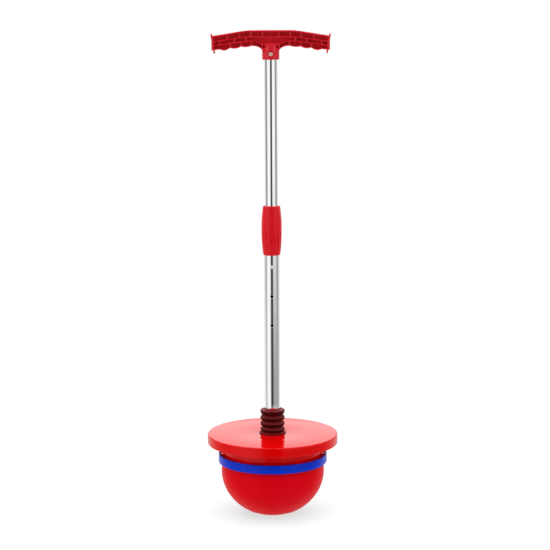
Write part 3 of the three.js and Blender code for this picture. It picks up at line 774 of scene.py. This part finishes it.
def make_lower_tube():
    low, high = span("lower_tube")
    height, pitch = middle("snap_button").z, 57.2
    holes = [(-90, height - pitch * i, 3.2) for i in range(3)] + [(90, middle("sleeve_screw").z, 1.8)]
    tube = drilled_tube("lower_pole_tube", 15, 13.5, low.z, high.z, holes)
    finish_piece(tube, "chrome_tube", "lower_pole", "lower_tube")


def make_upper_tube():
    low, high = span("upper_tube")
    bolt = middle("handle_bolt").z
    holes = [(-90, middle("snap_button").z, 3.2), (-90, bolt, 2.3), (90, bolt, 2.3)]
    tube = drilled_tube("upper_pole_tube", 12.5, 11.2, low.z, high.z, holes)
    finish_piece(tube, "chrome_tube", "upper_pole", "upper_tube")


FLUTES = 15
FLUTE_DEPTH = 1.5
FLUTE_OFFSET = -94.6  # degrees round the pole, of the flute nearest to the front
FLUTE_WIDTH = 5.6  # degrees, half across
FLUTE_START, FLUTE_END = 0.10, 0.50  # shares of the sleeve's height


def make_sleeve():
    low, high = span("coupling_sleeve")
    bottom, top = low.z, high.z
    height = top - bottom
    outline = [(0, 15.9), (0.02, 16.6), (0.1, 17.6), (0.24, 18.6), (0.42, 19.4), (0.68, 19.4), (0.82, 18.4),
               (0.95, 17), (0.985, 16.6), (1, 15.8)]

    def body_radius(share):
        """The sleeve's outer radius, as a smooth curve through its outline."""
        for (s0, r0), (s1, r1) in zip(outline, outline[1:]):
            if share <= s1:
                t = (share - s0) / (s1 - s0)
                i = outline.index((s0, r0))
                before = outline[max(0, i - 1)]
                after = outline[min(len(outline) - 1, i + 2)]
                m0 = (r1 - before[1]) / max(1e-6, s1 - before[0]) * (s1 - s0)
                m1 = (after[1] - r0) / max(1e-6, after[0] - s0) * (s1 - s0)
                h00, h10 = 2 * t**3 - 3 * t**2 + 1, t**3 - 2 * t**2 + t
                h01, h11 = -2 * t**3 + 3 * t**2, t**3 - t**2
                return h00 * r0 + h10 * m0 + h01 * r1 + h11 * m1
        return outline[-1][1]

    rows = 120
    outside = [(body_radius(i / rows), bottom + i / rows * height) for i in range(1, rows)]
    mouth = span("mouth_bush")[1].z + FRAME_GAP
    points = [(15.3, bottom + 0.3), (15.55, bottom)] + outside
    points += [(15.75, top - 0.25), (15.4, top), (13.2, top), (12.9, top - 0.3), (12.9, mouth), (15.3, mouth)]

    def ripple(angle, radius, z):
        along = ((z - bottom) / height - FLUTE_START) / (FLUTE_END - FLUTE_START)
        if radius < 16 or not 0 < along < 1:
            return radius
        step = 360 / FLUTES
        off = (math.degrees(angle) - FLUTE_OFFSET + step / 2) % step - step / 2
        opening = 0.55 + 0.45 * math.sin(math.pi * min(1, along * 1.6) / 2)
        width = FLUTE_WIDTH * opening * (1 - 0.35 * along)
        across = max(0.0, 1 - (off / width) ** 2)
        return radius - FLUTE_DEPTH * across * math.sin(math.pi * along) ** 0.45

    sleeve = turned("sleeve_shell", points, 360, 32, ripple)
    screw = middle("sleeve_screw").z
    for radius, start in ((1.8, 14), (3.6, 17.4)):
        drill(sleeve, radius, start, 22, to_back(screw))
    shade(sleeve, 32)
    finish_piece(sleeve, "sleeve_red", "lower_pole", "coupling_sleeve")
    matrix = moved(0, 17.7, screw) @ turn(90, "X")
    make_pan_screw("sleeve_screw", "sleeve_fixing", 3, 1.6, 1.5, matrix, "lower_pole")


def make_button():
    flange, neck, dome, back = 4.2, 2.9, 1.6, 10  # back: from the pole's axis to the flange's face
    tip = -span("snap_button")[0].y - back
    profile = fillet(
        [(0, -1.2, 0), (flange, -1.2, 0.3), (flange, 0, 0.3), (neck, 0, 0.1), (neck, tip - 1.5, 0)], 3)
    for i in range(8):
        angle = math.pi / 2 * i / 8
        profile.append((neck * math.cos(angle), tip - dome + dome * math.sin(angle)))
    profile.append((0, tip))
    button = turned("pole_button", profile, 48)
    place(button, moved(0, -back, middle("snap_button").z) @ turn(90, "X"))
    finish_piece(button, "chrome_tube", "button", "snap_button")


def make_leaf_spring():
    """The V-shaped leaf that holds the button out. It closes towards the tube's back wall."""
    low, high = span("button_spring")
    thick, half_width, rim = 0.7, 3.2, 0.14
    front, back, top = low.y + thick / 2, high.y - thick / 2, high.z
    knee = top - 17
    tip = (0, low.z + 0.5, 1.6)
    path = fillet([(front, top, 0), (front, knee, 9), tip, (back, knee, 9), (back, top, 0)], 10)
    edge = [(thick / 2, half_width - rim), (thick / 2 - rim, half_width)]
    edge += [(-out, wide) for out, wide in reversed(edge)]
    section = edge + [(out, -wide) for out, wide in reversed(edge)]
    sections = []
    for i, here in enumerate(path):
        before = Vector(path[max(0, i - 1)])
        after = Vector(path[min(len(path) - 1, i + 1)])
        along = (after - before).normalized()
        sections.append([(wide, here[0] - along.y * out, here[1] + along.x * out) for out, wide in section])
    leaf = swept("leaf_spring", sections, 40)
    finish_piece(leaf, "zinc_steel", "upper_pole", "button_spring")
    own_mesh(leaf)


# ---- handle

HANDLE_TOP = span("handle")[1].z
HANDLE_FLAT, HANDLE_DROOP, HANDLE_BEND = 37, 0.17, 12
BAR_MIDDLE, BAR_END = 30.2, 27.2
HALF_LENGTH = 109.4
HALF_DEPTH = 13
ROW_LINES = (0.412, 0.688)
TOP_WALL, BOTTOM_WALL, RIB = 3.0, 2.2, 1.8
UPPER_ROW = (15.3, 37.2, 58, 81.8)
MIDDLE_ROW = (46.8, 68, 96.2)
LOWER_ROW = (35.5, 56, 76.2, 96.2)
FINGER_LOBES = (1.9, 2.4, 3.2)
BOSS_RADIUS, BOSS_BOTTOM, BOSS_TOP = 16.4, span("handle")[0].z, 911
FILLET_TOP, FILLET_DROP = 34, 13.5
NECK = 15.6  # distance from the axis of the upright ribs beside the boss
NECK_BEND, NECK_DROP = 33, 4.9
PLATE_OUT, PLATE_HEIGHT, PLATE_LEAN = 109.4, 911.8, 9.4  # the end plates, whose tops lean outwards


def bar_top(x):
    past = max(0.0, abs(x) - HANDLE_FLAT)
    return HANDLE_TOP - HANDLE_DROOP * (math.hypot(past, HANDLE_BEND) - HANDLE_BEND)


def bar_line(x, share):
    height = BAR_MIDDLE + (BAR_END - BAR_MIDDLE) * abs(x) / LOWER_ROW[-1]
    return bar_top(x) - share * height


def row_line(x, row):
    """A rib between two rows of pockets. The lower one bends down beside the boss, to its neck."""
    z = bar_line(x, ROW_LINES[row])
    if row == 1:
        near = min(1.0, max(0.0, (NECK_BEND - abs(x)) / (NECK_BEND - NECK)))
        z -= NECK_DROP * near * near * (3 - 2 * near)
    return z


def underside(x):
    out = abs(x)
    if out < FILLET_TOP:
        reach = FILLET_TOP - (BOSS_RADIUS - 2)
        across = min(1.0, (FILLET_TOP - out) / reach)
        return bar_line(FILLET_TOP, 1) - FILLET_DROP * (1 - math.sqrt(max(0.0, 1 - across * across)))
    for i, drop in enumerate(FINGER_LOBES):
        if LOWER_ROW[i] < out < LOWER_ROW[i + 1]:
            along = (out - LOWER_ROW[i]) / (LOWER_ROW[i + 1] - LOWER_ROW[i])
            return bar_line(x, 1) - drop * math.sin(math.pi * along)
    return bar_line(x, 1)


def spread(start, end, step=2.0):
    count = max(1, math.ceil(abs(end - start) / step))
    return [start + (end - start) * i / count for i in range(count + 1)]


def lean(x, z):
    """Shifts a point near the bar's end so that the end follows its leaning plate."""
    near = max(0.0, abs(x) - LOWER_ROW[-1]) / (HALF_LENGTH - LOWER_ROW[-1])
    return x + math.copysign(near * math.tan(math.radians(PLATE_LEAN)) * (z - PLATE_HEIGHT), x), z


def strip(start, end, upper, lower, inset, radius=1.2):
    """A pocket's outline between two heights, shrunk by an inset, with rounded corners."""
    count = max(1, math.ceil((end - start) / 2))
    start, end = start + inset, end - inset
    xs = [start + (end - start) * i / count for i in range(count + 1)]
    radius = max(0.3, radius - inset)
    above = [(x, upper(x) - inset, 0) for x in xs]
    below = [(x, lower(x) + inset, 0) for x in reversed(xs)]
    for line in (above, below):
        line[0] = (*line[0][:2], radius)
        line[-1] = (*line[-1][:2], radius)
    outline = [lean(x, z) for x, z in fillet(above + below, 4)]
    return outline if area(outline) > 0 else list(reversed(outline))


def pockets_at(inset):
    """Every pocket's outline, shrunk by an inset."""
    half = RIB / 2
    end = HALF_LENGTH - 1.6

    def first_top(x):
        return bar_top(x) - TOP_WALL

    def over(row):
        return lambda x: row_line(x, row) + half

    def under(row):
        return lambda x: row_line(x, row) - half

    def floor(x):
        return underside(x) + BOTTOM_WALL

    def both_sides(ribs):
        return (-end, *[-x for x in reversed(ribs)], *ribs, end)

    rows = [
        (both_sides(UPPER_ROW), first_top, over(0)),
        (both_sides(MIDDLE_ROW), under(0), over(1)),
        ((NECK + 0.3, *LOWER_ROW[:-1], end), under(1), floor),
        ((-end, *[-x for x in reversed(LOWER_ROW[:-1])], -NECK - 0.3), under(1), floor),
    ]
    outlines = []
    for ribs, upper, lower in rows:
        for left, right in zip(ribs, ribs[1:]):
            outlines.append(strip(left + half, right - half, upper, lower, inset))
    return outlines


def bar_outline():
    end = HALF_LENGTH
    top = [(x, bar_top(x)) for x in spread(-end, end, 2.5)]
    right = [(x, underside(x)) for x in spread(end, BOSS_RADIUS - 1.9, 1.0)]
    left = [(-x, z) for x, z in reversed(right)]
    return [lean(x, z) for x, z in top + right + left]


def area(outline):
    return sum(a[0] * b[1] - b[0] * a[1] for a, b in zip(outline, outline[1:] + outline[:1])) / 2


def offset(outline, distance):
    """Moves each point of a closed outline to its left by a distance, for outlines with no sharp corners."""
    count = len(outline)
    made = []
    for i in range(count):
        before, here, after = (Vector(outline[j % count]) for j in (i - 1, i, i + 1))
        a = (here - before).normalized()
        b = (after - here).normalized()
        normal = Vector((-a.y - b.y, a.x + b.x))
        if normal.length < 1e-6:
            normal = Vector((-a.y, a.x))
        normal.normalize()
        widen = max(0.5, normal.dot(Vector((-a.y, a.x))))
        made.append(tuple(here + normal * distance / widen))
    return made


def face_with_holes(outline, holes):
    """Triangles that fill an outline less its holes: returns the index triples into outline + holes."""
    points = [Vector(p) for loop in [outline, *holes] for p in loop]
    loops, start = [], 0
    for loop in [outline, *holes]:
        loops.append(list(range(start, start + len(loop))))
        start += len(loop)
    edges = [(a, b) for loop in loops for a, b in zip(loop, loop[1:] + loop[:1])]
    made_points, _, made_faces, originals, *_ = delaunay_2d_cdt(points, edges, [], 1, 1e-7)
    index = [original[0] if original else None for original in originals]

    def inside(point, loop):
        hit = False
        for a, b in zip(loop, loop[1:] + loop[:1]):
            if (a[1] > point.y) != (b[1] > point.y):
                if point.x < (b[0] - a[0]) * (point.y - a[1]) / (b[1] - a[1]) + a[0]:
                    hit = not hit
        return hit

    triangles = []
    for triangle in made_faces:
        centre = sum((made_points[i] for i in triangle), Vector((0, 0))) / len(triangle)
        if inside(centre, outline) and not any(inside(centre, hole) for hole in holes):
            triangles.append([index[i] for i in triangle])
    return triangles


def lattice_bar():
    """The bar with its pockets in both faces: rounded edges, drafted walls and a web in the middle."""
    outline = bar_outline()
    if area(outline) < 0:
        outline.reverse()
    edge, web, draft, foot = 0.45, 1.5, 0.35, 0.6
    angles = (0, math.pi / 6, math.pi / 3, math.pi / 2)
    rounding = [(edge * (1 - math.sin(a)), edge * (1 - math.cos(a))) for a in angles]
    vertices, faces = [], []

    def ring(points, y):
        start = len(vertices)
        vertices.extend((x, y, z) for x, z in points)
        return list(range(start, start + len(points)))

    middle_rings = []
    for side in (-1, 1):
        shells = []
        for inset, drop in rounding:
            shells.append(ring(offset(outline, inset), side * (HALF_DEPTH - drop)))
        for first, second in zip(shells, shells[1:]):
            faces += bands(first, second)
        middle_rings.append(shells[-1])
        levels = [(-inset, HALF_DEPTH - drop) for inset, drop in rounding]
        levels += [(draft, web + foot), (draft + foot * 0.35, web + foot * 0.25), (draft + foot, web)]
        sizes = [pockets_at(inset) for inset, depth in levels]
        hole_rims = []
        for number in range(len(sizes[0])):
            rings = [ring(outlines[number], side * depth) for outlines, (inset, depth) in zip(sizes, levels)]
            for first, second in zip(rings, rings[1:]):
                faces += bands(first, second)
            hole_rims.append(rings[0])
            for triangle in face_with_holes(sizes[-1][number], []):
                faces.append(tuple(rings[-1][i] for i in triangle))
        face_outline = [(vertices[i][0], vertices[i][2]) for i in shells[0]]
        face_holes = [[(vertices[i][0], vertices[i][2]) for i in rim] for rim in hole_rims]
        flat = shells[0] + [i for rim in hole_rims for i in rim]
        for triangle in face_with_holes(face_outline, face_holes):
            faces.append(tuple(flat[i] for i in triangle))
    faces += bands(*middle_rings)
    return make_object("handle_bar", vertices, faces, 30)


def shallow_cut(handle, front, corners):
    """Cuts a pocket of (x, z, corner radius) points into the boss, leaving the wall round its bore."""
    outline = fillet(corners, 4)
    prism = swept("prism", [[(x, -front * y, z) for x, z in outline] for y in (20, 2)])
    drill(prism, 14.2, 880, 920, moved(0, 0, 0), 128)
    cut_or_join(handle, prism, "DIFFERENCE")


def make_handle():
    handle = lattice_bar()
    boss_profile = fillet([
        (0, BOSS_BOTTOM, 0), (BOSS_RADIUS, BOSS_BOTTOM, 1.1), (BOSS_RADIUS, BOSS_TOP - 4, 3),
        (BOSS_RADIUS - 4, BOSS_TOP, 2), (0, BOSS_TOP, 0),
    ], 6)
    cut_or_join(handle, turned("boss", boss_profile, 128), "UNION")
    for side in (-1, 1):
        plate = box_mesh("plate", (2.4, 29, 37.5), 0.8, 4)
        place(plate, moved(side * PLATE_OUT, 0, PLATE_HEIGHT) @ turn(side * PLATE_LEAN, "Y"))
        cut_or_join(handle, plate, "UNION")
    bore, bore_top = 12.8, 908.5
    socket = turned("socket", [
        (0, BOSS_BOTTOM - 1), (bore + 0.6, BOSS_BOTTOM - 1), (bore + 0.5, BOSS_BOTTOM),
        (bore, BOSS_BOTTOM + 0.6), (bore, bore_top), (0, bore_top),
    ], 96)
    cut_or_join(handle, socket, "DIFFERENCE")
    bolt = middle("handle_bolt").z
    for front in (-1, 1):
        recess = turned("recess", [
            (0, 13.4), (5.6, 13.4), (6, 13.8), (6, 15.6), (6.5, 17.2), (6.5, 20), (0, 20),
        ], 64)
        cut_or_join(handle, place(recess, moved(0, 0, bolt) @ turn(-90 * front, "X")), "DIFFERENCE")
        funnel = [(-13.6, 912.6, 0.8), (13.6, 912.6, 0.8), (3.4, 906.8, 2), (-3.4, 906.8, 2)]
        shallow_cut(handle, front, funnel)
        for side in (-1, 1):
            outer, inner = side * 14.6, side * 7.8
            shallow_cut(handle, front, [(outer, 909.8, 0.5), (outer, 903.6, 0.8), (inner, 903.6, 0.5)])
    drill(handle, 2.3, -20, 20, to_back(bolt))
    clean(handle)
    shade(handle, 30)
    finish_piece(handle, "grip_red", "upper_pole", "handle")


def make_handle_fixings():
    bolt = middle("handle_bolt").z
    matrix = moved(0, -14.2, 0) @ to_back(bolt)
    screw = make_pan_screw("handle_bolt", "handle_fixing", 4, 2.2, 2, matrix, "upper_pole")
    screw.data.materials[0] = bolt_head_painted_reflection()
    profile = fillet([(2.3, 0, 0.2), (4, 0, 0.1), (4, 2.4, 0.5), (2.3, 2.4, 0.2)], 3)
    nut = turned("handle_nut_hex", profile, 6, 20)
    place(nut, moved(0, span("handle_nut")[0].y, 0) @ to_back(bolt))
    finish_piece(nut, "zinc_steel", "upper_pole", "handle_nut")


# ---- studio

CAMERA_PLACE = (0.0061, -3.426, 1.0036)
CAMERA_PITCH = 8.87  # degrees below the horizon
CAMERA_ROLL = -0.27
CAMERA_LENS, SENSOR = 117.8, 36  # millimetres

# The studio round the toy. A panel is (degrees to its middle, half its width, brightness), and the
# brightness eases from one panel to the next. 0 degrees is the camera's side, where the studio is
# dark, and positive degrees are to its right. The first panel of each height stands behind the toy. A
# softbox stands on each side of the camera; the right one ends above the floor. PANELS_FLOOR is how the
# lit floor looks from above.
PANELS_HIGH = [
    (180, 14, 1.7), (-145, 8, 0.5), (-85, 30, 1.3), (0, 15, 0.1), (85, 30, 1.3), (145, 8, 0.5),
]
PANELS_LEVEL = [
    (180, 12, 0.3), (-150, 10, 0.9), (-90, 8, 0.3), (-42, 18, 1.0), (3, 9, 0.05), (42, 18, 1.0),
    (90, 8, 0.3), (150, 10, 0.9),
]
PANELS_LOW = [
    (180, 12, 0.3), (-150, 10, 0.9), (-90, 6, 0.6), (-50, 15, 1.0), (0, 8, 0.05), (45, 18, 0.35),
    (90, 6, 0.4), (150, 10, 0.9),
]
PANELS_FLOOR = [
    (180, 10, 0.45), (-140, 20, 0.95), (-95, 6, 0.5), (-45, 18, 0.95), (0, 9, 0.45), (45, 18, 0.95),
    (95, 6, 0.5), (140, 20, 0.95),
]
OVERHEAD = 1.1


def panel_edges(panels):
    """The brightness at both edges of each panel, in order round the studio."""
    (_, half, level), *others = panels
    edges = [(-180, level), (half - 180, level), (180 - half, level), (180, level)]
    for middle, half, level in others:
        edges += [(middle - half, level), (middle + half, level)]
    return sorted(edges)


def make_camera():
    data = bpy.data.cameras.new("camera")
    data.sensor_width = SENSOR
    data.lens = CAMERA_LENS
    data.clip_end = 60
    camera = add_object("camera", data)
    camera.matrix_world = (
        Matrix.Translation(CAMERA_PLACE) @ turn(90 - CAMERA_PITCH, "X") @ turn(CAMERA_ROLL, "Z")
    )
    bpy.context.scene.camera = camera


def make_world():
    """The panels light the toy and show in its reflections. The camera itself sees plain white."""
    world = bpy.data.worlds.new("studio")
    bpy.context.scene.world = world
    world.use_nodes = True
    nodes, links = world.node_tree.nodes, world.node_tree.links
    nodes.clear()
    split = nodes.new("ShaderNodeSeparateXYZ")
    links.new(nodes.new("ShaderNodeTexCoord").outputs["Generated"], split.inputs[0])

    def math_node(operation, first, *others):
        made = nodes.new("ShaderNodeMath")
        made.operation = operation
        links.new(first, made.inputs[0])
        for socket, value in zip(made.inputs[1:], others):
            socket.default_value = value
        return made

    back = math_node("MULTIPLY", split.outputs["Y"], -1.0)
    angle = math_node("ARCTAN2", split.outputs["X"])
    links.new(back.outputs[0], angle.inputs[1])
    around = math_node("MULTIPLY_ADD", angle.outputs[0], 0.5 / math.pi, 0.5)

    def horizon(panels):
        """The brightness round the studio at one height."""
        ramp = nodes.new("ShaderNodeValToRGB")
        ramp.color_ramp.interpolation = "EASE"
        elements = ramp.color_ramp.elements
        first, *others, last = panel_edges(panels)
        elements[0].color = (*[first[1]] * 3, 1)
        elements[1].color = (*[last[1]] * 3, 1)
        for degrees, level in others:
            elements.new((degrees + 180) / 360).color = (level, level, level, 1)
        links.new(around.outputs[0], ramp.inputs["Fac"])
        return ramp.outputs["Color"]

    def even(value):
        plain = nodes.new("ShaderNodeRGB")
        plain.outputs[0].default_value = (value, value, value, 1)
        return plain.outputs[0]

    def blend(low, high, start, end):
        """Mixes two radiances between two values of the direction's height."""
        share = nodes.new("ShaderNodeMapRange")
        share.interpolation_type = "SMOOTHSTEP"
        share.inputs["From Min"].default_value = start
        share.inputs["From Max"].default_value = end
        links.new(split.outputs["Z"], share.inputs["Value"])
        mix = nodes.new("ShaderNodeMix")
        mix.data_type = "RGBA"
        links.new(share.outputs["Result"], mix.inputs[0])
        links.new(low, mix.inputs[6])
        links.new(high, mix.inputs[7])
        return mix.outputs[2]

    studio = blend(horizon(PANELS_FLOOR), horizon(PANELS_LOW), -0.60, -0.28)
    studio = blend(studio, horizon(PANELS_LEVEL), -0.23, -0.08)
    studio = blend(studio, horizon(PANELS_HIGH), 0.05, 0.2)
    studio = blend(studio, even(OVERHEAD), 0.45, 0.9)
    lit = nodes.new("ShaderNodeBackground")
    links.new(studio, lit.inputs["Color"])
    seen = nodes.new("ShaderNodeBackground")
    seen.inputs["Color"].default_value = (1, 1, 1, 1)
    path = nodes.new("ShaderNodeLightPath")
    choose = nodes.new("ShaderNodeMixShader")
    links.new(path.outputs["Is Camera Ray"], choose.inputs["Fac"])
    links.new(lit.outputs[0], choose.inputs[1])
    links.new(seen.outputs[0], choose.inputs[2])
    output = nodes.new("ShaderNodeOutputWorld")
    links.new(choose.outputs[0], output.inputs["Surface"])


def make_floor():
    bm = bmesh.new()
    bmesh.ops.create_circle(bm, cap_ends=True, radius=14, segments=64)
    floor = from_bmesh("floor", bm)
    floor.location.z = -0.0004
    finish = Finish("floor paper", 0.9, specular=0.0)
    finish.colour(finish.noise(3, 2), (0.04, 0.04, 0.04), (0.05, 0.05, 0.05))
    # Painted shadow: the floor glows white, and its glow dims to grey where the occlusion node finds the toy
    # close above it.
    painted_shadow_occlusion = finish.nodes.new("ShaderNodeAmbientOcclusion")
    painted_shadow_occlusion.samples = 16
    painted_shadow_occlusion.inputs["Distance"].default_value = 0.10
    painted_shadow_glow = finish.ramp(painted_shadow_occlusion.outputs["AO"], [(0.2, (0.70, 0.70, 0.70)), (0.85, (1.0, 1.0, 1.0))])
    finish.links.new(painted_shadow_glow, finish.shader.inputs["Emission Color"])
    finish.set("Emission Strength", 1.0)
    floor.data.materials.append(finish.material)
    floor.visible_glossy = False
    floor.visible_diffuse = False


def make_studio():
    make_camera()
    make_world()
    make_floor()
    bpy.context.scene.view_settings.view_transform = "Standard"
    bpy.context.scene.view_settings.look = "None"


make_studio()
carry_over_frame()
make_ball()
make_hoop()
make_skirt()
make_deck()
make_bellows()
make_bounce_spring()
make_lower_tube()
make_upper_tube()
make_sleeve()
make_button()
make_leaf_spring()
make_handle()
make_handle_fixings()
